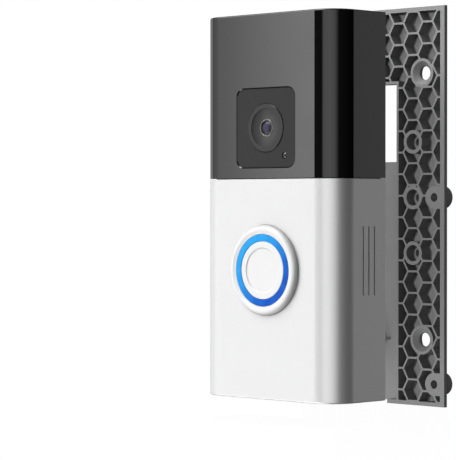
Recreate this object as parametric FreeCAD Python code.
import FreeCAD, Part
import math
import os

# Battery video doorbell with its honeycomb wall plate, in millimetres.
# Origin: centre of the wall plate's back face. +X right, +Z up, +Y into the wall, so the doorbell's
# front faces -Y. The doorbell stands off the plate on its two mounting screws.

V = FreeCAD.Vector

# ---- Wall plate -------------------------------------------------------------------------------
PLATE_W = 66.0
PLATE_H = 135.7
PLATE_T = 5.2
PLATE_RIM = 1.85             # outer wall, and the wall that follows the sloping flanks
PLATE_FLOOR = 1.0
FLANK_CHAMFER = 3.7          # 45 degree slope along the back of both long sides
HEX_PITCH = 7.385            # distance between two cells of one column
HEX_RIB = 0.7
FRAME_RIB = 0.9              # rib round the wire opening and the wire channel
OPEN_W = 23.8
OPEN_BOTTOM = 15.4
OPEN_TOP = 42.06
CHANNEL_COVE = 2.2           # radius between the channel's floor and its side ribs
NOTCH_W = 15.4
NOTCH_H = 0.8                # up into the floor; the end wall is open over its whole height
END_WALL = 1.4

BIG_IN_X = 9.85              # wall screw holes, in from the long sides
BIG_IN_Z = 22.45             # and from the ends
BIG_BOSS_R = 4.96
BIG_SINK_R = 4.0
BIG_HOLE_R = 2.36
BIG_WEB = 0.96
BIG_RELIEF_R = 4.1
MID_X = 19.16                # counterbored holes, three to a side
MID_Z = 3.06
MID_PITCH = 19.0
MID_BOSS_R = 4.05
MID_BORE_R = 2.8
MID_BORE_DEPTH = 3.4
MID_HOLE_R = 1.47
LUG_IN_X = 4.45              # lugs at the long sides
LUG_TOP_Z = 3.06
LUG_LOW_IN = 7.55            # lower lugs, up from the plate's bottom
LUG_R = 3.85
LUG_HOLE_R = 1.47

# ---- Mounting screws and the holes that they run in ---------------------------------------------
SCREW_X = -1.07
SCREW_TOP_RISE = 3.24        # upper screw, above the wire opening
SCREW_LOW_Z = -45.6
SCREW_R = 1.4
SCREW_RUNNING_GAP = 0.07
SCREW_HEAD_R = 2.9
SCREW_HEAD_H = 1.3
SCREW_TIP_Y = -1.3
SCREW_POINT = 1.6
DRIVER_R = 3.2               # screwdriver access in line with each screw
TOP_BOSS_R = 3.6
ARCH_R = 6.43
ARCH_WALL = 1.03
ARCH_RIB_ANGLE = 38.0
LOW_BOSS_R = 4.07
GUSSET_R = 7.0
GUSSET_T = 0.8

# ---- Doorbell envelope ----------------------------------------------------------------------------
STANDOFF = 28.0              # from the plate's front to the doorbell's back
BELL_W = 62.0
BELL_H = 127.8
BELL_D = 24.8
CORNER_R = 9.0               # the two front vertical corners
SHELL_WALL = 2.0
SHELL_GAP = 0.2              # between the outer shells and the housing inside them
EDGE_ROUND = 0.5
SEAM_Z = 9.2
SEAM_GAP = 0.3

# ---- Camera group ---------------------------------------------------------------------------------
WINDOW_W = 26.2
WINDOW_H = 26.0
WINDOW_RISE = 16.8           # window's centre above the seam
WINDOW_R = 3.0
WINDOW_GAP = 0.12
WINDOW_RECESS = 0.3
WINDOW_BEVEL = 0.3
SEAL_T = 0.2
SEAL_W = 1.8
HOOD_R = 8.0
HOOD_GAP = 0.15
HOOD_DISC_R = 6.4            # dished middle, one small step below the hood's rim
HOOD_STEP = 0.2
HOOD_DISH = 0.6              # depth of the dish at the lens ring
HOOD_T = 3.0
LENS_RING_R = 2.95
LENS_RING_WALL = 0.5
LENS_DOME = 0.6              # height of the front element's dome
BARREL_R = 6.5
BARREL_SPACE = 1.4           # between the camera board and the main board
BARREL_CAVITY_R = 5.0
BARREL_CAVITY = 2.5
CAMERA_BOARD = 22.0
SENSOR_IN_X = 4.6            # light sensor, in from the window's right side
SENSOR_IN_Z = 3.8            # and up from its lower side
SENSOR_R = 1.1
SENSOR_GAP = 0.08
EMITTER_R = 1.3
EMITTER_GAP = 0.2            # between the outer emitters and the opening behind the pane
EMITTER_CORNER = 8.7         # offset of the two upper corner emitters
IR_FRAME_H = 0.8
IR_BOARD_OVER = 1.3          # how far the emitter board overlaps its frame

# ---- Button group ---------------------------------------------------------------------------------
BUTTON_DROP = 30.3           # button's centre below the seam
BEZEL_W = 3.0
BEZEL_GAP = 0.15             # to the hole in the faceplate
BEZEL_EDGE = 0.7             # how far the bezel's rim stands proud
BEZEL_PROUD = 1.6
RING_R = 11.92
RING_W = 2.22
RING_GAP = 0.08
RING_FLANGE = 0.98
RING_FLANGE_T = 0.8
CAP_GAP = 0.1
CAP_PROUD = 1.5
CAP_T = 2.7
DISH_IN = 2.15               # dish, in from the light ring's bore
DISH_DEPTH = 0.3
STEM_R = 3.0
PRESS_TRAVEL = 0.8
PRESS_SPARE = 0.05
SWITCH_H = 1.25
SWITCH_W = 5.0
WELL_GAP = 0.1
WELL_WALL = 1.6
WELL_SPACE = 2.4             # between the front housing and the button board
BOARD_LAP = 1.2              # how far the button board overlaps its well
LED_COUNT = 12
LED_L = 2.0
LED_W = 1.0
LED_H = 0.5
DOME_LOW_IN = 1.7            # dome's foot, in from the light ring's bore
DOME_TOP_R = 5.0
DOME_WALL = 0.6

# ---- Housing --------------------------------------------------------------------------------------
FUSE_LAP = 0.2               # how far ribs and bosses run into the walls that they grow from
FRONT_WALL = 1.6
FRONT_DEPTH = 9.4            # where the front housing ends, behind the doorbell's front face
SEAL_RING_T = 0.5
SEAL_RING_W = 1.2
SEAL_RING_INSET = 0.3
REAR_WALL = 1.8
REAR_FLOOR = 2.4
HOUSING_SCREW_IN_X = 5.8     # in from the doorbell's sides
HOUSING_SCREW_IN_Z = 7.4
HOUSING_SCREW_R = 1.05
HOUSING_SCREW_TIP = 6.4       # depth of the screws' ends, inside the front housing's bosses
HOUSING_HEAD_R = 2.0
HOUSING_HEAD_H = 1.4
HOUSING_BOSS_R = 2.4
FASTENER_GAP = 0.05
TIP_SPACE = 0.3              # hole beyond a screw's end
HEAD_SUNK = 0.1              # housing screw heads below the back face
RECESS_SHARE = 0.6           # driver recess, as a share of the head
RECESS_DEPTH = 0.8

# ---- Battery and its sleeve -----------------------------------------------------------------------
BATTERY_W = 42.0
BATTERY_SPACE = 1.7          # between the sleeve and the ribbon behind the button board
BATTERY_TOP_Z = 1.3
BATTERY_R = 2.0
BATTERY_GAP = 0.25           # to the sleeve all round
BATTERY_CAP_H = 5.4
BATTERY_BACK_SPACE = 0.2     # more room behind it, for the heads of the mounting screws
BATTERY_DOOR_GAP = 0.3       # to the openings in the housing and the faceplate
SLEEVE_WALL = 1.0
CONTACT_COUNT = 3
CONTACT_PITCH = 6.0
CONTACT_R = 0.7
CONTACT_GAP = 0.05
CONTACT_BLOCK = (18.0, 4.0, 2.4)
TAB_W = 14.0
TAB_T = 3.4
TAB_POCKET_DEPTH = 3.5
TAB_TRAVEL = 1.2
TAB_SIDE_GAP = 1.0
TAB_END_GAP = 0.2
TAB_INSET = 0.3

# ---- Speaker, microphone and faceplate details ----------------------------------------------------
SLOT_COUNT = 3
SLOT_DEPTH = 16.55           # middle slot, behind the front face
SLOT_PITCH = 2.75
SLOT_W = 0.6
SLOT_TOP = -6.4
SLOT_LOW = -29.1
SPEAKER_T = 4.0
SPEAKER_D = 11.0
SPEAKER_H = 28.0
SPEAKER_CONE = 1.2
SPEAKER_RIM = 1.5
MESH_T = 0.3
MESH_LIP = 1.0
MESH_OVER_Z = 1.4            # sound opening, beyond the slots
MESH_OVER_Y = 1.5
MIC_X = -14.0
MIC_DEPTH = 6.5
MIC_SIZE = (4.0, 3.0, 1.2)
MIC_PORT_R = 0.6
SECURITY_DEPTH = 6.0
SECURITY_R = 1.2
SECURITY_GAP = 0.1
SECURITY_HEAD_R = 2.2
SECURITY_HEAD_H = 1.1
SECURITY_REACH = 1.2         # how far its tip stands into the front housing

# ---- Electronics and the back of the doorbell -----------------------------------------------------
BOARD_T = 1.2
CAMERA_BOARD_T = 1.0
MAIN_BOARD_SIDE = 5.5        # from the doorbell's sides
MAIN_BOARD_LOW = 6.0
MAIN_BOARD_END = 10.4        # from the doorbell's top
MAIN_BOARD_RISE = 7.0        # above the housing floor
POST_IN_X = 3.5
POST_INSET_Z = 3.0
POST_R = 2.0
SHIELD_SIZE = (18.0, 12.0, 2.0)
SHIELD_IN_X = 14.5           # shield's centre, in from the main board's left side
SHIELD_RISE = 8.0            # and above its lower edge
MODULE_SIZE = (13.0, 11.0, 2.0)
MODULE_IN_X = 12.5           # radio module's centre, in from the right side
MODULE_DROP = 9.5            # and below the upper edge
CAN_ROUND = 0.8
CAPACITOR_R = 2.2
CAPACITOR_H = 5.0
CAPACITOR_DROP = 6.5
CAPACITOR_PITCH = 6.0
CAPACITOR_SPACE = 0.8        # beside the camera board
PLUG_SIZE = (9.0, 3.0)
PLUG_RISE = 8.5              # above the lens axis
BOARD_SCREW_R = 0.8
BOARD_SCREW_L = 4.0          # in its post
BOARD_RECESS_DEPTH = 0.5
BOARD_HEAD_R = 1.6
BOARD_HEAD_H = 1.0
TERMINAL_W = 22.0
TERMINAL_H = 11.0
TERMINAL_GAP = 0.1
TERMINAL_FLANGE = 1.5
TERMINAL_INNER = 3.4
TERMINAL_RECESS = 0.5
TERMINAL_PITCH = 10.5
WIRE_RECESS_W = 34.0
WIRE_RECESS_H = 22.0
WIRE_RECESS_DEPTH = 1.0
WIRE_RECESS_R = 2.5
TERMINAL_SCREW_R = 1.3
TERMINAL_HEAD_R = 2.7
TERMINAL_HEAD_H = 1.4
TERMINAL_HEAD_PROUD = 0.2
SETUP_X = 15.0
SETUP_Z = 12.0
SETUP_R = 2.45
SETUP_GAP = 0.1
SETUP_FLANGE_R = 3.3
SETUP_FLANGE_T = 1.2
SETUP_RECESS = 0.1
SETUP_TRAVEL = 0.5
SETUP_SWITCH = 6.0
RIBBON_W = 8.0
RIBBON_T = 0.3
RIBBON_X = 8.0
RIBBON_LAP = 5.0

# ---- Places worked out from the dimensions --------------------------------------------------------
BACK_Y = -PLATE_T - STANDOFF
FRONT_Y = BACK_Y - BELL_D
HALF_H = BELL_H / 2
BIG_X = PLATE_W / 2 - BIG_IN_X
BIG_Z = PLATE_H / 2 - BIG_IN_Z
LUG_X = PLATE_W / 2 - LUG_IN_X
LUG_ZS = (LUG_TOP_Z, LUG_LOW_IN - PLATE_H / 2)
SCREW_TOP_Z = OPEN_TOP + SCREW_TOP_RISE
WINDOW_Z = SEAM_Z + WINDOW_RISE
LENS_Z = WINDOW_Z
SENSOR_X = WINDOW_W / 2 - SENSOR_IN_X
SENSOR_Z = WINDOW_Z - WINDOW_H / 2 + SENSOR_IN_Z
BUTTON_Z = SEAM_Z - BUTTON_DROP
RING_BORE_R = RING_R - RING_W
BEZEL_R = RING_R + RING_GAP + BEZEL_W
DISH_R = RING_BORE_R - DISH_IN
DOME_LOW_R = RING_BORE_R - DOME_LOW_IN
WELL_R = RING_R + RING_FLANGE + WELL_GAP
BUTTON_BOARD_R = WELL_R + BOARD_LAP
HOUSING_SCREW_X = BELL_W / 2 - HOUSING_SCREW_IN_X
HOUSING_SCREW_Z = HALF_H - HOUSING_SCREW_IN_Z
MAIN_BOARD_W = BELL_W - 2 * MAIN_BOARD_SIDE
MAIN_BOARD_TOP = HALF_H - MAIN_BOARD_END
POST_X = MAIN_BOARD_W / 2 - POST_IN_X
TERMINAL_Z = (OPEN_BOTTOM + OPEN_TOP) / 2         # level with the plate's wire opening
IN_W = BELL_W - 2 * (SHELL_WALL + SHELL_GAP)      # housing width
IN_H = BELL_H - 2 * (SHELL_WALL + SHELL_GAP)      # housing height
IN_FRONT = SHELL_WALL + SHELL_GAP                 # depth of the housing's front face
IN_BACK = IN_FRONT + FRONT_WALL                   # depth of its inner side
REAR_START = FRONT_DEPTH + SEAL_RING_T
FLOOR_DEPTH = BELL_D - REAR_FLOOR                 # depth of the rear housing's floor, inside
BOARD_SEAT = IN_BACK + WELL_SPACE                 # depth where the button board is seated
IR_BOARD_DEPTH = IN_BACK + IR_FRAME_H
EYE_W = WINDOW_W - 2 * SEAL_W                     # opening behind the camera window
EYE_H = WINDOW_H - 2 * SEAL_W
EMITTER_REACH = min(EYE_W, EYE_H) / 2 - EMITTER_R - EMITTER_GAP   # from the lens axis
BATTERY_BACK = FLOOR_DEPTH - BATTERY_GAP - BATTERY_BACK_SPACE
BATTERY_FRONT = BOARD_SEAT + CAMERA_BOARD_T + RIBBON_T + BATTERY_SPACE + SLEEVE_WALL + BATTERY_GAP
SLEEVE_FRONT = BATTERY_FRONT - BATTERY_GAP - SLEEVE_WALL
SLEEVE_HALF = BATTERY_W / 2 + BATTERY_GAP + SLEEVE_WALL
SLEEVE_TOP = BATTERY_TOP_Z + BATTERY_GAP + SLEEVE_WALL
SCREW_HOLE_R = SCREW_R + SCREW_RUNNING_GAP
MAIN_BOARD_DEPTH = FLOOR_DEPTH - MAIN_BOARD_RISE
BARREL_L = MAIN_BOARD_DEPTH - BARREL_SPACE - CAMERA_BOARD_T - HOOD_T
BIG_SINK_DEPTH = BIG_SINK_R - BIG_HOLE_R


def depth(d):
    """Row Y of a plane d behind the doorbell's front face."""
    return FRONT_Y + d


def box(x0, x1, y0, y1, z0, z1):
    return Part.makeBox(x1 - x0, y1 - y0, z1 - z0, V(x0, y0, z0))


def slab(x, z, w, h, d0, d1):
    """Box centred at x, z, between two depths behind the doorbell's front."""
    return box(x - w / 2, x + w / 2, depth(d0), depth(d1), z - h / 2, z + h / 2)


def rod_y(x, z, r, y0, y1):
    return Part.makeCylinder(r, y1 - y0, V(x, y0, z), V(0, 1, 0))


def rod(x, z, r, d0, d1):
    """Round bar along Y between two depths behind the doorbell's front."""
    return rod_y(x, z, r, depth(d0), depth(d1))


def cone_y(x, z, r0, r1, y0, y1):
    return Part.makeCone(r0, r1, y1 - y0, V(x, y0, z), V(0, 1, 0))


def round_edges(shape, r, direction):
    """Rounds every straight edge that runs along one axis."""
    edges = []
    for edge in shape.Edges:
        if not isinstance(edge.Curve, Part.Line):
            continue
        way = edge.Vertexes[1].Point.sub(edge.Vertexes[0].Point).normalize()
        if abs(way.dot(direction)) > 0.999:
            edges.append(edge)
    return shape.makeFillet(r, edges)


def rounded_slab(x, z, w, h, r, d0, d1):
    return round_edges(slab(x, z, w, h, d0, d1), r, V(0, 1, 0))


def plan_block(width, d0, d1, r, z0, z1):
    """Block whose two front vertical corners are rounded, between depths d0 and d1."""
    half = width / 2
    y0 = depth(d0)
    y1 = depth(d1)
    cut = r * (1 - math.sqrt(0.5))
    edges = [
        Part.LineSegment(V(-half + r, y0, z0), V(half - r, y0, z0)),
        Part.Arc(V(half - r, y0, z0), V(half - cut, y0 + cut, z0), V(half, y0 + r, z0)),
        Part.LineSegment(V(half, y0 + r, z0), V(half, y1, z0)),
        Part.LineSegment(V(half, y1, z0), V(-half, y1, z0)),
        Part.LineSegment(V(-half, y1, z0), V(-half, y0 + r, z0)),
        Part.Arc(V(-half, y0 + r, z0), V(-half + cut, y0 + cut, z0), V(-half + r, y0, z0)),
    ]
    wire = Part.Wire([edge.toShape() for edge in edges])
    return Part.Face(wire).extrude(V(0, 0, z1 - z0))


def turned(x, z, profile):
    """Solid turned about an axis along Y. The profile lists (radius, depth) corners; an entry of
    three pairs is an arc, given by its middle point and its end."""
    def place(pair):
        return V(x + pair[0], depth(pair[1]), z)
    edges = []
    here = place(profile[0])
    for entry in profile[1:]:
        if isinstance(entry[0], tuple):
            end = place(entry[1])
            edges.append(Part.Arc(here, place(entry[0]), end).toShape())
        else:
            end = place(entry)
            edges.append(Part.LineSegment(here, end).toShape())
        here = end
    edges.append(Part.LineSegment(here, place(profile[0])).toShape())
    return Part.Face(Part.Wire(edges)).revolve(V(x, 0, z), V(0, 1, 0), 360)


def domed_bar(x, z, r, base, edge, front):
    """Round bar along Y with a domed front: its straight side ends at depth edge."""
    shoulder = (0.72 * r, front + 0.3 * (edge - front))
    flat_r = 0.1 * r
    return turned(x, z, [
        (0, base), (r, base), (r, edge), (shoulder, (flat_r, front)), (0, front),
    ])


def joined(first, *others):
    return first.fuse(list(others)).removeSplitter()


def without(first, *others):
    return first.cut(list(others))


def group(solids):
    return Part.makeCompound(solids)


# ---- Wall plate -------------------------------------------------------------------------------
def flat_rect(x0, x1, z0, z1):
    """Flat rectangle on the plate's front plane."""
    y = -PLATE_T
    corners = [V(x0, y, z0), V(x1, y, z0), V(x1, y, z1), V(x0, y, z1), V(x0, y, z0)]
    return Part.Face(Part.makePolygon(corners))


def flat_disc(x, z, r):
    circle = Part.makeCircle(r, V(x, -PLATE_T, z), V(0, 1, 0))
    return Part.Face(Part.Wire(circle))


def hexagon(x, z, r):
    turns = [math.radians(60 * k) for k in range(7)]
    points = [V(x + r * math.cos(a), -PLATE_T, z + r * math.sin(a)) for a in turns]
    return Part.Face(Part.makePolygon(points))


def plate_prism(half_w, chamfer_from, y_back, z0, z1):
    """Plate section with both flanks sloping at 45 degrees from y = -chamfer_from to y_back."""
    slope = chamfer_from + y_back
    points = [
        V(-half_w, -PLATE_T, z0), V(half_w, -PLATE_T, z0), V(half_w, -chamfer_from, z0),
        V(half_w - slope, y_back, z0), V(slope - half_w, y_back, z0),
        V(-half_w, -chamfer_from, z0), V(-half_w, -PLATE_T, z0),
    ]
    return Part.Face(Part.makePolygon(points)).extrude(V(0, 0, z1 - z0))


def big_places():
    return [(sx * BIG_X, sz * BIG_Z) for sx in (-1, 1) for sz in (-1, 1)]


def mid_places():
    return [(sx * MID_X, MID_Z + k * MID_PITCH) for sx in (-1, 1) for k in (-1, 0, 1)]


def lug_places():
    return [(sx * LUG_X, z) for sx in (-1, 1) for z in LUG_ZS]


def cell_faces():
    """Honeycomb cells as flat faces, cut off at the rim, the bosses and the channel's frame."""
    half_w = PLATE_W / 2
    half_h = PLATE_H / 2
    frame_half = OPEN_W / 2 + FRAME_RIB
    region = flat_rect(-half_w + PLATE_RIM, half_w - PLATE_RIM, -half_h + END_WALL, half_h - END_WALL)
    solid_areas = [flat_rect(-frame_half, frame_half, -half_h, OPEN_TOP + FRAME_RIB)]
    solid_areas += [flat_disc(x, z, BIG_BOSS_R) for x, z in big_places()]
    solid_areas += [flat_disc(x, z, MID_BOSS_R) for x, z in mid_places()]
    for x, z in lug_places():
        solid_areas.append(flat_disc(x, z, LUG_R))
        solid_areas.append(flat_rect(min(x, math.copysign(half_w, x)), max(x, math.copysign(half_w, x)),
                                     z - LUG_R, z + LUG_R))
    solid_areas.append(flat_disc(SCREW_X, SCREW_TOP_Z, ARCH_R))
    solid_areas.append(flat_rect(SCREW_X - ARCH_R, SCREW_X + ARCH_R, OPEN_TOP, SCREW_TOP_Z))
    region = region.cut(solid_areas)
    side = HEX_PITCH / math.sqrt(3)
    cell_r = side - HEX_RIB / math.sqrt(3)
    columns = int(half_w / (1.5 * side)) + 2
    rows = int(half_h / HEX_PITCH) + 2
    cells = []
    for i in range(-columns, columns + 1):
        shift = 0.5 * HEX_PITCH if i % 2 else 0.0
        for k in range(-rows, rows + 1):
            cells.append(hexagon(1.5 * side * i, HEX_PITCH * k + shift, cell_r))
    return region.common(cells).Faces


def arch_pockets():
    """The two hollows between the upper screw's boss and the arch round it."""
    low = OPEN_TOP + FRAME_RIB
    inner_r = ARCH_R - ARCH_WALL
    hollow = flat_disc(SCREW_X, SCREW_TOP_Z, inner_r)
    hollow = hollow.fuse(flat_rect(SCREW_X - inner_r, SCREW_X + inner_r, low, SCREW_TOP_Z))
    boss = flat_disc(SCREW_X, SCREW_TOP_Z, TOP_BOSS_R)
    boss = boss.fuse(flat_rect(SCREW_X - TOP_BOSS_R, SCREW_X + TOP_BOSS_R, OPEN_TOP, SCREW_TOP_Z))
    below = flat_rect(SCREW_X - 2 * ARCH_R, SCREW_X + 2 * ARCH_R, OPEN_TOP - ARCH_R, low)
    ribs = []
    for turn in (-ARCH_RIB_ANGLE, ARCH_RIB_ANGLE):
        rib = flat_rect(SCREW_X - HEX_RIB / 2, SCREW_X + HEX_RIB / 2, SCREW_TOP_Z, SCREW_TOP_Z + ARCH_R)
        rib.rotate(V(SCREW_X, 0, SCREW_TOP_Z), V(0, 1, 0), turn)
        ribs.append(rib)
    return hollow.cut([boss, below] + ribs).Faces


def channel_tool():
    """Wire channel below the opening, with coved sides."""
    half = OPEN_W / 2
    floor = -PLATE_FLOOR
    r = CHANNEL_COVE
    cut = r * (1 - math.sqrt(0.5))
    z0 = -PLATE_H / 2 + END_WALL
    edges = [
        Part.LineSegment(V(-half, -PLATE_T, z0), V(half, -PLATE_T, z0)),
        Part.LineSegment(V(half, -PLATE_T, z0), V(half, floor - r, z0)),
        Part.Arc(V(half, floor - r, z0), V(half - cut, floor - cut, z0), V(half - r, floor, z0)),
        Part.LineSegment(V(half - r, floor, z0), V(r - half, floor, z0)),
        Part.Arc(V(r - half, floor, z0), V(cut - half, floor - cut, z0), V(-half, floor - r, z0)),
        Part.LineSegment(V(-half, floor - r, z0), V(-half, -PLATE_T, z0)),
    ]
    wire = Part.Wire([edge.toShape() for edge in edges])
    return Part.Face(wire).extrude(V(0, 0, OPEN_BOTTOM - z0))


def gusset(turn):
    """Tapering web from the lower boss to the channel's floor."""
    y_high = -PLATE_T + GUSSET_T
    points = [
        V(0, y_high, -GUSSET_T / 2), V(LOW_BOSS_R, y_high, -GUSSET_T / 2),
        V(GUSSET_R, -PLATE_FLOOR, -GUSSET_T / 2), V(0, -PLATE_FLOOR, -GUSSET_T / 2),
        V(0, y_high, -GUSSET_T / 2),
    ]
    web = Part.Face(Part.makePolygon(points)).extrude(V(0, 0, GUSSET_T))
    web.rotate(V(0, 0, 0), V(0, 1, 0), turn)
    web.translate(V(SCREW_X, 0, SCREW_LOW_Z))
    return web


def wall_plate():
    half_w = PLATE_W / 2
    half_h = PLATE_H / 2
    body = plate_prism(half_w, FLANK_CHAMFER, 0.0, -half_h, half_h)
    envelope = plate_prism(half_w - PLATE_RIM, FLANK_CHAMFER, -PLATE_FLOOR, -half_h, half_h)
    flat_half = half_w - PLATE_RIM - (FLANK_CHAMFER - PLATE_FLOOR)
    pocket_depth = PLATE_T - PLATE_FLOOR
    pockets = []
    for face in cell_faces() + arch_pockets():
        pocket = face.extrude(V(0, pocket_depth, 0))
        if max(abs(face.BoundBox.XMin), abs(face.BoundBox.XMax)) > flat_half:
            pocket = pocket.common(envelope)
        pockets += pocket.Solids
    body = body.cut(pockets)
    opening = box(-OPEN_W / 2, OPEN_W / 2, -PLATE_T, 0, OPEN_BOTTOM, OPEN_TOP)
    notch = box(-NOTCH_W / 2, NOTCH_W / 2, -PLATE_T, 0, -half_h, -half_h + NOTCH_H)
    gate = box(-NOTCH_W / 2, NOTCH_W / 2, -PLATE_T, -PLATE_FLOOR, -half_h, -half_h + END_WALL)
    body = body.cut([channel_tool(), opening, notch, gate])
    low_boss = rod_y(SCREW_X, SCREW_LOW_Z, LOW_BOSS_R, -PLATE_T, -PLATE_FLOOR / 2)
    lugs = [rod_y(x, z, LUG_R, -PLATE_T, 0) for x, z in lug_places()]
    body = body.fuse([low_boss] + [gusset(90 * k) for k in range(4)] + lugs)
    tools = []
    for x, z in big_places():
        tools.append(cone_y(x, z, BIG_SINK_R, BIG_HOLE_R, -PLATE_T, -PLATE_T + BIG_SINK_DEPTH))
        tools.append(rod_y(x, z, BIG_HOLE_R, -PLATE_T, 0))
        tools.append(rod_y(x, z, BIG_RELIEF_R, -PLATE_T + BIG_SINK_DEPTH + BIG_WEB, 0))
    for x, z in mid_places():
        tools.append(rod_y(x, z, MID_BORE_R, -PLATE_T, -PLATE_T + MID_BORE_DEPTH))
        tools.append(rod_y(x, z, MID_HOLE_R, -PLATE_T, 0))
    tools += [rod_y(x, z, LUG_HOLE_R, -PLATE_T, 0) for x, z in lug_places()]
    tools += [rod_y(SCREW_X, z, SCREW_HOLE_R, -PLATE_T, 0) for z in (SCREW_TOP_Z, SCREW_LOW_Z)]
    return body.cut(tools).removeSplitter()


# ---- Outer shells -----------------------------------------------------------------------------
def shell(z0, z1, inner_z0, inner_z1):
    outer = plan_block(BELL_W, 0, BELL_D, CORNER_R, z0, z1)
    inner_w = BELL_W - 2 * SHELL_WALL
    inner = plan_block(inner_w, SHELL_WALL, BELL_D + 1, CORNER_R - SHELL_WALL, inner_z0, inner_z1)
    return outer, inner


def round_end(shape, z):
    """Rounds the outer edges of the shell's closed end, except the one at the back."""
    edges = []
    for edge in shape.Edges:
        box_of = edge.BoundBox
        at_end = abs(box_of.ZMin - z) < 1e-4 and abs(box_of.ZMax - z) < 1e-4
        at_back = box_of.YMin > BACK_Y - 1e-4
        if at_end and not at_back:
            edges.append(edge)
    return shape.makeFillet(EDGE_ROUND, edges)


def camera_cover():
    z0 = SEAM_Z + SEAM_GAP / 2
    outer, inner = shell(z0, HALF_H, z0 - 1, HALF_H - SHELL_WALL)
    outer = round_end(outer, HALF_H)
    hole_w = WINDOW_W + 2 * WINDOW_GAP
    hole_h = WINDOW_H + 2 * WINDOW_GAP
    hole = rounded_slab(0, WINDOW_Z, hole_w, hole_h, WINDOW_R + WINDOW_GAP, 0, SHELL_WALL)
    cover = outer.cut([inner, hole])
    rim = [e for e in cover.Edges if on_front(e) and within(e, hole_w, hole_h, WINDOW_Z)]
    return cover.makeChamfer(WINDOW_BEVEL, rim)


def on_front(edge):
    return abs(edge.BoundBox.YMin - FRONT_Y) < 1e-4 and abs(edge.BoundBox.YMax - FRONT_Y) < 1e-4


def within(edge, w, h, z):
    """True for an edge that lies inside a w by h rectangle centred at x = 0 and height z."""
    b = edge.BoundBox
    spare = 0.01
    return max(-b.XMin, b.XMax) <= w / 2 + spare and max(z - b.ZMin, b.ZMax - z) <= h / 2 + spare


def slot_depths():
    middle = (SLOT_COUNT - 1) / 2
    return [SLOT_DEPTH + (k - middle) * SLOT_PITCH for k in range(SLOT_COUNT)]


def side_slot(d):
    """Sound slot with round ends through the right wall of the faceplate."""
    r = SLOT_W / 2
    x0 = BELL_W / 2 - SHELL_WALL
    bar = box(x0, BELL_W / 2, depth(d) - r, depth(d) + r, SLOT_LOW + r, SLOT_TOP - r)
    ends = [Part.makeCylinder(r, SHELL_WALL, V(x0, depth(d), z), V(1, 0, 0))
            for z in (SLOT_LOW + r, SLOT_TOP - r)]
    return joined(bar, *ends)


def faceplate():
    z1 = SEAM_Z - SEAM_GAP / 2
    outer, inner = shell(-HALF_H, z1, -HALF_H + SHELL_WALL, z1 + 1)
    outer = round_end(outer, -HALF_H)
    button_hole = rod(0, BUTTON_Z, BEZEL_R + BEZEL_GAP, 0, SHELL_WALL)
    notch_half = BATTERY_W / 2 + 2 * BATTERY_DOOR_GAP
    notch = box(-notch_half, notch_half, depth(BATTERY_FRONT - BATTERY_DOOR_GAP), BACK_Y,
                -HALF_H, -HALF_H + SHELL_WALL)
    y_screw = depth(SECURITY_DEPTH)
    screw_hole = Part.makeCylinder(SECURITY_R + SECURITY_GAP, SHELL_WALL, V(0, y_screw, -HALF_H))
    head_hole = Part.makeCylinder(SECURITY_HEAD_R + SECURITY_GAP, SECURITY_HEAD_H, V(0, y_screw, -HALF_H))
    port = Part.makeCylinder(MIC_PORT_R, SHELL_WALL, V(MIC_X, depth(MIC_DEPTH), -HALF_H))
    slots = [side_slot(d) for d in slot_depths()]
    return outer.cut([inner, button_hole, notch, screw_hole, head_hole, port] + slots)


def security_screw():
    y = depth(SECURITY_DEPTH)
    head = Part.makeCylinder(SECURITY_HEAD_R, SECURITY_HEAD_H, V(0, y, -HALF_H))
    length = SHELL_WALL + SHELL_GAP + SECURITY_REACH
    shank = Part.makeCylinder(SECURITY_R, length, V(0, y, -HALF_H))
    return without(joined(head, shank), star_socket(0, y, -HALF_H, SECURITY_R * 0.75, SECURITY_HEAD_H * 0.7))


def star_socket(x, y, z, r, deep):
    """Six-point driver recess that opens downwards at height z."""
    points = []
    for k in range(13):
        reach = r if k % 2 == 0 else r * 0.72
        angle = math.radians(30 * k)
        points.append(V(x + reach * math.cos(angle), y + reach * math.sin(angle), z))
    return Part.Face(Part.makePolygon(points)).extrude(V(0, 0, deep))


# ---- Camera group -----------------------------------------------------------------------------
def camera_window():
    pane = rounded_slab(0, WINDOW_Z, WINDOW_W, WINDOW_H, WINDOW_R, WINDOW_RECESS, SHELL_WALL)
    lens_hole = rod(0, LENS_Z, HOOD_R + HOOD_GAP, WINDOW_RECESS, SHELL_WALL)
    sensor_hole = rod(SENSOR_X, SENSOR_Z, SENSOR_R + SENSOR_GAP, WINDOW_RECESS, SHELL_WALL)
    return pane.cut([lens_hole, sensor_hole])


def window_seal():
    d0 = SHELL_WALL
    d1 = SHELL_WALL + SEAL_T
    ring = rounded_slab(0, WINDOW_Z, WINDOW_W, WINDOW_H, WINDOW_R, d0, d1)
    return ring.cut(slab(0, WINDOW_Z, EYE_W, EYE_H, d0, d1))


def lens_hood():
    back = HOOD_T
    return turned(0, LENS_Z, [
        (HOOD_R, back), (HOOD_R, 0.15), (HOOD_R - 0.15, 0.0), (HOOD_DISC_R, 0.0),
        (HOOD_DISC_R - 0.1, HOOD_STEP), (LENS_RING_R, HOOD_DISH), (LENS_RING_R, back),
    ])


def lens_ring():
    inner = LENS_RING_R - LENS_RING_WALL
    front = HOOD_DISH - 0.15
    return turned(0, LENS_Z, [
        (inner, HOOD_T), (LENS_RING_R, HOOD_T), (LENS_RING_R, front + 0.1),
        (LENS_RING_R - 0.1, front), (inner + 0.15, front), (inner, front + 0.15),
    ])


def camera_lens():
    r = LENS_RING_R - LENS_RING_WALL
    front = HOOD_DISH - 0.1
    return domed_bar(0, LENS_Z, r, HOOD_T, front + LENS_DOME, front)


def camera_barrel():
    d1 = HOOD_T + BARREL_L
    barrel = rod(0, LENS_Z, BARREL_R, HOOD_T, d1)
    return without(barrel, rod(0, LENS_Z, BARREL_CAVITY_R, d1 - BARREL_CAVITY, d1))


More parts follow.
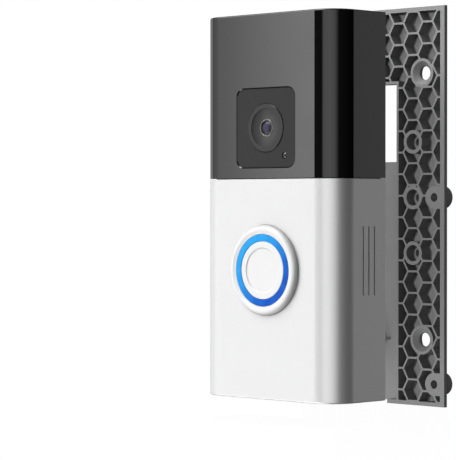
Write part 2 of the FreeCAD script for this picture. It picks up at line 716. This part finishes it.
def camera_board():
    d0 = HOOD_T + BARREL_L
    return slab(0, LENS_Z, CAMERA_BOARD, CAMERA_BOARD, d0, d0 + CAMERA_BOARD_T)


def image_sensor():
    d1 = HOOD_T + BARREL_L
    return slab(0, LENS_Z, 6.4, 4.8, d1 - 1.1, d1)


def ir_board():
    w = EYE_W + 2 * IR_BOARD_OVER
    h = EYE_H + 2 * IR_BOARD_OVER
    d1 = IR_BOARD_DEPTH + CAMERA_BOARD_T
    plate = slab(0, WINDOW_Z, w, h, IR_BOARD_DEPTH, d1)
    return without(plate, rod(0, LENS_Z, HOOD_R + 2 * HOOD_GAP, IR_BOARD_DEPTH, d1))


def ir_emitters():
    places = [(EMITTER_REACH, 0), (-EMITTER_REACH, 0), (0, EMITTER_REACH), (0, -EMITTER_REACH)]
    places += [(sx * EMITTER_CORNER, EMITTER_CORNER) for sx in (-1, 1)]
    top = SHELL_WALL + 0.6
    return group([domed_bar(x, LENS_Z + z, EMITTER_R, IR_BOARD_DEPTH, top + 0.7, top) for x, z in places])


def light_sensor():
    front = WINDOW_RECESS - 0.1
    return domed_bar(SENSOR_X, SENSOR_Z, SENSOR_R, IR_BOARD_DEPTH, front + 0.4, front)


# ---- Button group -----------------------------------------------------------------------------
def button_bezel():
    bore = RING_R + RING_GAP
    crown = bore + 0.6
    middle = ((BEZEL_R + crown) / 2 + 0.75, -(BEZEL_EDGE + BEZEL_PROUD) / 2 - 0.25)
    return turned(0, BUTTON_Z, [
        (bore, IN_FRONT), (BEZEL_R, IN_FRONT), (BEZEL_R, -BEZEL_EDGE),
        (middle, (crown, -BEZEL_PROUD)), (bore + 0.15, -BEZEL_PROUD), (bore, -BEZEL_PROUD + 0.15),
    ])


def light_ring():
    flange_r = RING_R + RING_FLANGE
    foot = BOARD_SEAT - LED_H - 0.1
    ease = 0.12
    return turned(0, BUTTON_Z, [
        (RING_BORE_R, foot), (RING_R, foot), (RING_R, IN_BACK + RING_FLANGE_T),
        (flange_r, IN_BACK + RING_FLANGE_T), (flange_r, IN_BACK), (RING_R, IN_BACK),
        (RING_R, -BEZEL_PROUD + ease), (RING_R - ease, -BEZEL_PROUD),
        (RING_BORE_R + ease, -BEZEL_PROUD), (RING_BORE_R, -BEZEL_PROUD + ease),
    ])


def stem_end():
    """Depth of the stem's end, short of the switch by the travel and a little more."""
    return BOARD_SEAT - SWITCH_H - PRESS_TRAVEL - PRESS_SPARE


def button_cap():
    r = RING_BORE_R - CAP_GAP
    back = CAP_T - CAP_PROUD
    ease = 0.25
    return turned(0, BUTTON_Z, [
        (0, stem_end()), (STEM_R, stem_end()), (STEM_R, back), (r, back),
        (r, -CAP_PROUD + ease), ((r - 0.3 * ease, -CAP_PROUD + 0.3 * ease), (r - ease, -CAP_PROUD)),
        (DISH_R, -CAP_PROUD), (DISH_R - DISH_DEPTH, -CAP_PROUD + DISH_DEPTH),
        (0, -CAP_PROUD + DISH_DEPTH),
    ])


def button_dome():
    """Silicone return dome between the cap and the button board."""
    top = CAP_T - CAP_PROUD
    foot = BOARD_SEAT
    return turned(0, BUTTON_Z, [
        (DOME_LOW_R, foot), (DOME_TOP_R, top + DOME_WALL), (DOME_TOP_R, top),
        (DOME_TOP_R - DOME_WALL, top), (DOME_TOP_R - DOME_WALL, top + DOME_WALL),
        (DOME_LOW_R - 2 * DOME_WALL, foot),
    ])


def button_switch():
    return slab(0, BUTTON_Z, SWITCH_W, SWITCH_W, BOARD_SEAT - SWITCH_H, BOARD_SEAT)


def button_board():
    return rod(0, BUTTON_Z, BUTTON_BOARD_R, BOARD_SEAT, BOARD_SEAT + CAMERA_BOARD_T)


def ring_leds():
    solids = []
    middle = (RING_R + RING_BORE_R) / 2
    for k in range(LED_COUNT):
        led = slab(0, BUTTON_Z + middle, LED_L, LED_W, BOARD_SEAT - LED_H, BOARD_SEAT)
        led.rotate(V(0, 0, BUTTON_Z), V(0, 1, 0), 360 * k / LED_COUNT)
        solids.append(led)
    return group(solids)


# ---- Housing ----------------------------------------------------------------------------------
def housing_screw_places():
    return [(sx * HOUSING_SCREW_X, sz * HOUSING_SCREW_Z) for sx in (-1, 1) for sz in (-1, 1)]


def front_housing():
    half = IN_H / 2
    corner = CORNER_R - SHELL_WALL - SHELL_GAP
    outer = plan_block(IN_W, IN_FRONT, FRONT_DEPTH, corner, -half, half)
    inner = plan_block(IN_W - 2 * FRONT_WALL, IN_BACK, FRONT_DEPTH + 1, corner - FRONT_WALL,
                       -half + FRONT_WALL, half - FRONT_WALL)
    tray = outer.cut(inner)
    bosses = [rod(x, z, HOUSING_BOSS_R, IN_BACK - FUSE_LAP, FRONT_DEPTH).common(outer)
              for x, z in housing_screw_places()]
    well = rod(0, BUTTON_Z, WELL_R + WELL_WALL, IN_BACK - FUSE_LAP, BOARD_SEAT)
    well = without(well, rod(0, BUTTON_Z, WELL_R, IN_BACK - FUSE_LAP, BOARD_SEAT))
    frame = slab(0, WINDOW_Z, EYE_W + 2 * FRONT_WALL, EYE_H + 2 * FRONT_WALL,
                 IN_BACK - FUSE_LAP, IR_BOARD_DEPTH)
    tray = tray.fuse(bosses + [well, frame])
    y_screw = depth(SECURITY_DEPTH)
    groove_half = SECURITY_R + SECURITY_GAP
    cuts = [
        slab(0, WINDOW_Z, EYE_W, EYE_H, IN_FRONT, IR_BOARD_DEPTH),
        rod(0, BUTTON_Z, RING_R + 4 * RING_GAP, IN_FRONT, IN_BACK),
        rod(SCREW_X, SCREW_TOP_Z, DRIVER_R, IN_FRONT, IN_BACK),
        rod(SCREW_X, SCREW_LOW_Z, DRIVER_R, IN_FRONT, IN_BACK),
        box(-groove_half, groove_half, depth(IN_FRONT), y_screw + groove_half, -half, -half + FRONT_WALL),
        Part.makeCylinder(MIC_PORT_R, FRONT_WALL, V(MIC_X, depth(MIC_DEPTH), -half)),
    ]
    cuts += [rod(x, z, HOUSING_SCREW_R + FASTENER_GAP, HOUSING_SCREW_TIP - TIP_SPACE, FRONT_DEPTH)
             for x, z in housing_screw_places()]
    return tray.cut(cuts).removeSplitter()


def housing_seal():
    w = IN_W - 2 * SEAL_RING_INSET
    h = IN_H - 2 * SEAL_RING_INSET
    ring = slab(0, 0, w, h, FRONT_DEPTH, REAR_START)
    return without(ring, slab(0, 0, w - 2 * SEAL_RING_W, h - 2 * SEAL_RING_W, FRONT_DEPTH, REAR_START))


def post_places():
    zs = (MAIN_BOARD_LOW + POST_INSET_Z, MAIN_BOARD_TOP - POST_INSET_Z)
    return [(sx * POST_X, z) for sx in (-1, 1) for z in zs]


def speaker_opening(lip, x0, x1):
    middle_z = (SLOT_TOP + SLOT_LOW) / 2
    span_z = SLOT_TOP - SLOT_LOW + 2 * (MESH_OVER_Z + lip)
    span_y = (SLOT_COUNT - 1) * SLOT_PITCH + 2 * (MESH_OVER_Y + lip)
    y = depth(SLOT_DEPTH)
    return box(x0, x1, y - span_y / 2, y + span_y / 2, middle_z - span_z / 2, middle_z + span_z / 2)


def rear_housing():
    half_w = IN_W / 2
    half = IN_H / 2
    tub = slab(0, 0, IN_W, IN_H, REAR_START, BELL_D)
    tub = without(tub, slab(0, 0, IN_W - 2 * REAR_WALL, IN_H - 2 * REAR_WALL, REAR_START, FLOOR_DEPTH))
    door_half = BATTERY_W / 2 + BATTERY_DOOR_GAP
    tail = box(-door_half, door_half, depth(FLOOR_DEPTH), BACK_Y, -HALF_H, -half)
    bosses = [rod(x, z, HOUSING_BOSS_R, REAR_START, FLOOR_DEPTH + FUSE_LAP)
              for x, z in housing_screw_places()]
    post_start = MAIN_BOARD_DEPTH + BOARD_T
    posts = [rod(x, z, POST_R, post_start, FLOOR_DEPTH + FUSE_LAP) for x, z in post_places()]
    tub = tub.fuse([tail] + bosses + posts)
    wall_x = half_w - REAR_WALL
    mesh_x = half_w - MESH_T - SHELL_GAP
    head_floor = FLOOR_DEPTH + SCREW_HEAD_H + FASTENER_GAP
    cuts = [
        box(-door_half, door_half, depth(BATTERY_FRONT - BATTERY_DOOR_GAP), depth(FLOOR_DEPTH),
            -half, -half + REAR_WALL),
        speaker_opening(0, wall_x, half_w),
        speaker_opening(MESH_LIP, mesh_x, half_w),
        slab(0, TERMINAL_Z, TERMINAL_W + 2 * TERMINAL_GAP, TERMINAL_H + 2 * TERMINAL_GAP,
             FLOOR_DEPTH, BELL_D),
        rod(SETUP_X, SETUP_Z, SETUP_R + SETUP_GAP, FLOOR_DEPTH, BELL_D),
        rounded_slab(0, TERMINAL_Z, WIRE_RECESS_W, WIRE_RECESS_H, WIRE_RECESS_R,
                     BELL_D - WIRE_RECESS_DEPTH, BELL_D),
    ]
    for z in (SCREW_TOP_Z, SCREW_LOW_Z):
        cuts.append(rod(SCREW_X, z, SCREW_R + FASTENER_GAP, FLOOR_DEPTH, BELL_D))
        cuts.append(rod(SCREW_X, z, SCREW_HEAD_R + 2 * FASTENER_GAP, FLOOR_DEPTH, head_floor))
    for x, z in housing_screw_places():
        cuts.append(rod(x, z, HOUSING_SCREW_R + FASTENER_GAP, REAR_START, BELL_D))
        cuts.append(rod(x, z, HOUSING_HEAD_R + 2 * FASTENER_GAP, BELL_D - HOUSING_HEAD_H, BELL_D))
    post_end = post_start + BOARD_SCREW_L + TIP_SPACE
    for x, z in post_places():
        cuts.append(rod(x, z, BOARD_SCREW_R + FASTENER_GAP, post_start, post_end))
    return tub.cut(cuts).removeSplitter()


def cross_recess(x, z, r, d0, d1):
    """Cross-shaped driver recess along Y."""
    width = 0.3 * r
    return joined(slab(x, z, 2 * r, width, d0, d1), slab(x, z, width, 2 * r, d0, d1))


def housing_screws():
    solids = []
    head_start = BELL_D - HOUSING_HEAD_H
    head_end = BELL_D - HEAD_SUNK
    for x, z in housing_screw_places():
        head = rod(x, z, HOUSING_HEAD_R, head_start, head_end)
        shank = rod(x, z, HOUSING_SCREW_R, HOUSING_SCREW_TIP, head_start)
        recess = cross_recess(x, z, HOUSING_HEAD_R * RECESS_SHARE, head_end - RECESS_DEPTH, head_end)
        solids.append(without(joined(head, shank), recess))
    return group(solids)


def mounting_screws():
    solids = []
    head_start = FLOOR_DEPTH
    head_end = FLOOR_DEPTH + SCREW_HEAD_H
    for z in (SCREW_TOP_Z, SCREW_LOW_Z):
        head = rod(SCREW_X, z, SCREW_HEAD_R, head_start, head_end)
        shank = rod_y(SCREW_X, z, SCREW_R, depth(head_end), SCREW_TIP_Y - SCREW_POINT)
        point = cone_y(SCREW_X, z, SCREW_R, 0.3, SCREW_TIP_Y - SCREW_POINT, SCREW_TIP_Y)
        recess = cross_recess(SCREW_X, z, SCREW_HEAD_R * RECESS_SHARE, head_start, head_start + RECESS_DEPTH)
        solids.append(without(joined(head, shank, point), recess))
    return group(solids)


# ---- Battery ----------------------------------------------------------------------------------
def battery_sleeve():
    low = -IN_H / 2 + REAR_WALL
    inner_half = SLEEVE_HALF - SLEEVE_WALL
    sleeve = box(-SLEEVE_HALF, SLEEVE_HALF, depth(SLEEVE_FRONT), depth(FLOOR_DEPTH), low, SLEEVE_TOP)
    cuts = [
        box(-inner_half, inner_half, depth(SLEEVE_FRONT + SLEEVE_WALL), depth(FLOOR_DEPTH),
            low, SLEEVE_TOP - SLEEVE_WALL),
        rod(SCREW_X, SCREW_LOW_Z, DRIVER_R, SLEEVE_FRONT, SLEEVE_FRONT + SLEEVE_WALL),
    ]
    for x in contact_xs():
        foot = V(x, contact_y(), SLEEVE_TOP - SLEEVE_WALL)
        cuts.append(Part.makeCylinder(CONTACT_R + 2 * CONTACT_GAP, SLEEVE_WALL, foot))
    return sleeve.cut(cuts)


def contact_xs():
    middle = (CONTACT_COUNT - 1) / 2
    return [(k - middle) * CONTACT_PITCH for k in range(CONTACT_COUNT)]


def contact_y():
    return depth((BATTERY_FRONT + BATTERY_BACK) / 2)


def battery_contacts():
    w, d, h = CONTACT_BLOCK
    y = contact_y()
    block = box(-w / 2, w / 2, y - d / 2, y + d / 2, SLEEVE_TOP, SLEEVE_TOP + h)
    tip = BATTERY_TOP_Z + CONTACT_GAP
    pins = [Part.makeCylinder(CONTACT_R, SLEEVE_TOP - tip, V(x, y, tip)) for x in contact_xs()]
    return joined(block, *pins)


def battery_section(z0, z1):
    half = BATTERY_W / 2
    blank = box(-half, half, depth(BATTERY_FRONT), depth(BATTERY_BACK), z0, z1)
    return round_edges(blank, BATTERY_R, V(0, 0, 1))


def battery_pack():
    return battery_section(-HALF_H + BATTERY_CAP_H, BATTERY_TOP_Z)


def tab_front():
    """Depth of the release tab's front face."""
    return (BATTERY_FRONT + BATTERY_BACK - TAB_T - TAB_TRAVEL) / 2


def battery_end_cap():
    cap = battery_section(-HALF_H, -HALF_H + BATTERY_CAP_H)
    half = TAB_W / 2 + TAB_SIDE_GAP
    d0 = tab_front() - TAB_END_GAP
    d1 = tab_front() + TAB_T + TAB_TRAVEL + 2 * TAB_END_GAP
    return without(cap, box(-half, half, depth(d0), depth(d1), -HALF_H, -HALF_H + TAB_POCKET_DEPTH))


def battery_release_tab():
    half = TAB_W / 2
    z0 = -HALF_H + TAB_INSET
    z1 = -HALF_H + TAB_POCKET_DEPTH - CONTACT_GAP
    tab = box(-half, half, depth(tab_front()), depth(tab_front() + TAB_T), z0, z1)
    grooves = []
    for k in range(-2, 3):
        x = 2.2 * k
        grooves.append(box(x - 0.3, x + 0.3, depth(tab_front()), depth(tab_front() + TAB_T), z0, z0 + 0.4))
    return tab.cut(grooves)


# ---- Sound ------------------------------------------------------------------------------------
def speaker():
    x1 = IN_W / 2 - REAR_WALL
    y = depth(SLOT_DEPTH)
    z = (SLOT_TOP + SLOT_LOW) / 2
    half_d = SPEAKER_D / 2
    half_h = SPEAKER_H / 2
    rim = SPEAKER_RIM
    case = box(x1 - SPEAKER_T, x1, y - half_d, y + half_d, z - half_h, z + half_h)
    hollow = box(x1 - SPEAKER_CONE, x1, y - half_d + rim, y + half_d - rim,
                 z - half_h + rim, z + half_h - rim)
    return without(case, hollow)


def speaker_mesh():
    x0 = IN_W / 2 - MESH_T - SHELL_GAP
    return speaker_opening(MESH_LIP - FASTENER_GAP, x0, x0 + MESH_T)


def microphone():
    w, d, h = MIC_SIZE
    y = depth(MIC_DEPTH)
    z0 = -IN_H / 2 + FRONT_WALL
    return box(MIC_X - w / 2, MIC_X + w / 2, y - d / 2, y + d / 2, z0, z0 + h)


# ---- Electronics ------------------------------------------------------------------------------
def main_board():
    middle = (MAIN_BOARD_LOW + MAIN_BOARD_TOP) / 2
    height = MAIN_BOARD_TOP - MAIN_BOARD_LOW
    d1 = MAIN_BOARD_DEPTH + BOARD_T
    board = slab(0, middle, MAIN_BOARD_W, height, MAIN_BOARD_DEPTH, d1)
    holes = [rod(x, z, BOARD_SCREW_R + FASTENER_GAP, MAIN_BOARD_DEPTH, d1) for x, z in post_places()]
    holes.append(rod(SCREW_X, SCREW_TOP_Z, DRIVER_R, MAIN_BOARD_DEPTH, d1))
    return board.cut(holes)


def board_screws():
    solids = []
    head_start = MAIN_BOARD_DEPTH - BOARD_HEAD_H
    tip = MAIN_BOARD_DEPTH + BOARD_T + BOARD_SCREW_L
    for x, z in post_places():
        head = rod(x, z, BOARD_HEAD_R, head_start, MAIN_BOARD_DEPTH)
        shank = rod(x, z, BOARD_SCREW_R, MAIN_BOARD_DEPTH, tip)
        recess = cross_recess(x, z, BOARD_HEAD_R * RECESS_SHARE, head_start, head_start + BOARD_RECESS_DEPTH)
        solids.append(without(joined(head, shank), recess))
    return group(solids)


def can_on_board(x, z, size):
    """Metal can on the back of the main board."""
    w, h, t = size
    d0 = MAIN_BOARD_DEPTH + BOARD_T
    return round_edges(slab(x, z, w, h, d0, d0 + t), CAN_ROUND, V(0, 1, 0))


def processor_shield():
    x = SHIELD_IN_X - MAIN_BOARD_W / 2
    return can_on_board(x, MAIN_BOARD_LOW + SHIELD_RISE, SHIELD_SIZE)


def radio_module():
    x = MAIN_BOARD_W / 2 - MODULE_IN_X
    return can_on_board(x, MAIN_BOARD_TOP - MODULE_DROP, MODULE_SIZE)


def board_chips():
    """Capacitors on the front of the main board, and the plug-in camera connector."""
    d1 = MAIN_BOARD_DEPTH
    z = MAIN_BOARD_TOP - CAPACITOR_DROP
    near = CAMERA_BOARD / 2 + CAPACITOR_SPACE + CAPACITOR_R
    xs = (-near - CAPACITOR_PITCH, -near, near, near + CAPACITOR_PITCH)
    solids = [rod(x, z, CAPACITOR_R, d1 - CAPACITOR_H, d1) for x in xs]
    plug_w, plug_h = PLUG_SIZE
    camera_back = HOOD_T + BARREL_L + CAMERA_BOARD_T
    solids.append(slab(0, LENS_Z + PLUG_RISE, plug_w, plug_h, camera_back, d1))
    return group(solids)


def button_ribbon():
    """Flat ribbon from the button board, up past the sleeve, to the main board's lower edge."""
    d0 = BOARD_SEAT + CAMERA_BOARD_T
    d1 = MAIN_BOARD_DEPTH
    z_turn = SLEEVE_TOP + CONTACT_BLOCK[2] + 0.6
    x = -RIBBON_X
    left = x - RIBBON_W / 2
    right = x + RIBBON_W / 2
    low_run = box(left, right, depth(d0), depth(d0 + RIBBON_T), BUTTON_Z, z_turn)
    across = box(left, right, depth(d0), depth(d1), z_turn - RIBBON_T, z_turn)
    high_run = box(left, right, depth(d1 - RIBBON_T), depth(d1), z_turn - RIBBON_T, z_turn + RIBBON_LAP)
    return joined(low_run, across, high_run)


def terminal_places():
    return [(sx * TERMINAL_PITCH / 2, TERMINAL_Z) for sx in (-1, 1)]


def terminal_head_start():
    return BELL_D - TERMINAL_RECESS - TERMINAL_HEAD_H + TERMINAL_HEAD_PROUD


def terminal_block():
    flange = slab(0, TERMINAL_Z, TERMINAL_W + 2 * TERMINAL_FLANGE, TERMINAL_H + 2 * TERMINAL_FLANGE,
                  FLOOR_DEPTH - TERMINAL_INNER, FLOOR_DEPTH)
    nose = slab(0, TERMINAL_Z, TERMINAL_W, TERMINAL_H, FLOOR_DEPTH, BELL_D - TERMINAL_RECESS)
    block = joined(flange, nose)
    head_start = terminal_head_start()
    cuts = []
    for x, z in terminal_places():
        cuts.append(rod(x, z, TERMINAL_SCREW_R + FASTENER_GAP, FLOOR_DEPTH - TERMINAL_INNER + 0.5, BELL_D))
        cuts.append(rod(x, z, TERMINAL_HEAD_R + 2 * FASTENER_GAP, head_start, BELL_D))
        cuts.append(slab(x, z - 4.5, 3.0, 3.0, head_start, BELL_D))
    return block.cut(cuts)


def terminal_screws():
    solids = []
    start = terminal_head_start()
    for x, z in terminal_places():
        head = rod(x, z, TERMINAL_HEAD_R, start, start + TERMINAL_HEAD_H)
        shank = rod(x, z, TERMINAL_SCREW_R, FLOOR_DEPTH - TERMINAL_INNER + 0.8, start)
        end = start + TERMINAL_HEAD_H
        recess = cross_recess(x, z, TERMINAL_HEAD_R * 0.65, end - 0.7, end)
        solids.append(without(joined(head, shank), recess))
    return group(solids)


def setup_button():
    flange_start = FLOOR_DEPTH - SETUP_FLANGE_T
    cap = rod(SETUP_X, SETUP_Z, SETUP_R, FLOOR_DEPTH, BELL_D - SETUP_RECESS)
    flange = rod(SETUP_X, SETUP_Z, SETUP_FLANGE_R, flange_start, FLOOR_DEPTH)
    dimple = Part.makeSphere(4.0, V(SETUP_X, BACK_Y - SETUP_RECESS + 3.6, SETUP_Z))
    return without(joined(cap, flange), dimple)


def setup_switch():
    d1 = FLOOR_DEPTH - SETUP_FLANGE_T - SETUP_TRAVEL - PRESS_SPARE
    return slab(SETUP_X, SETUP_Z, SETUP_SWITCH, SETUP_SWITCH, MAIN_BOARD_DEPTH + BOARD_T, d1)


NODES = [
    wall_plate, camera_cover, faceplate, security_screw, camera_window, window_seal, lens_hood, lens_ring,
    camera_lens, camera_barrel, camera_board, image_sensor, ir_board, ir_emitters, light_sensor,
    button_bezel, light_ring, button_cap, button_dome, button_switch, button_board, ring_leds,
    front_housing, housing_seal, rear_housing, housing_screws, mounting_screws, battery_sleeve,
    battery_contacts, battery_pack, battery_end_cap, battery_release_tab, speaker, speaker_mesh,
    microphone, main_board, board_screws, processor_shield, radio_module, board_chips, button_ribbon,
    terminal_block, terminal_screws, setup_button, setup_switch,
]

os.makedirs("parts", exist_ok=True)
for make in NODES:
    shape = make()
    if not shape.isValid() or not shape.Solids:
        raise ValueError(make.__name__ + " isn't a valid solid")
    shape.exportStep("parts/" + make.__name__ + ".step")
    print(make.__name__, len(shape.Solids), "solids", round(shape.Volume, 1), "mm3")
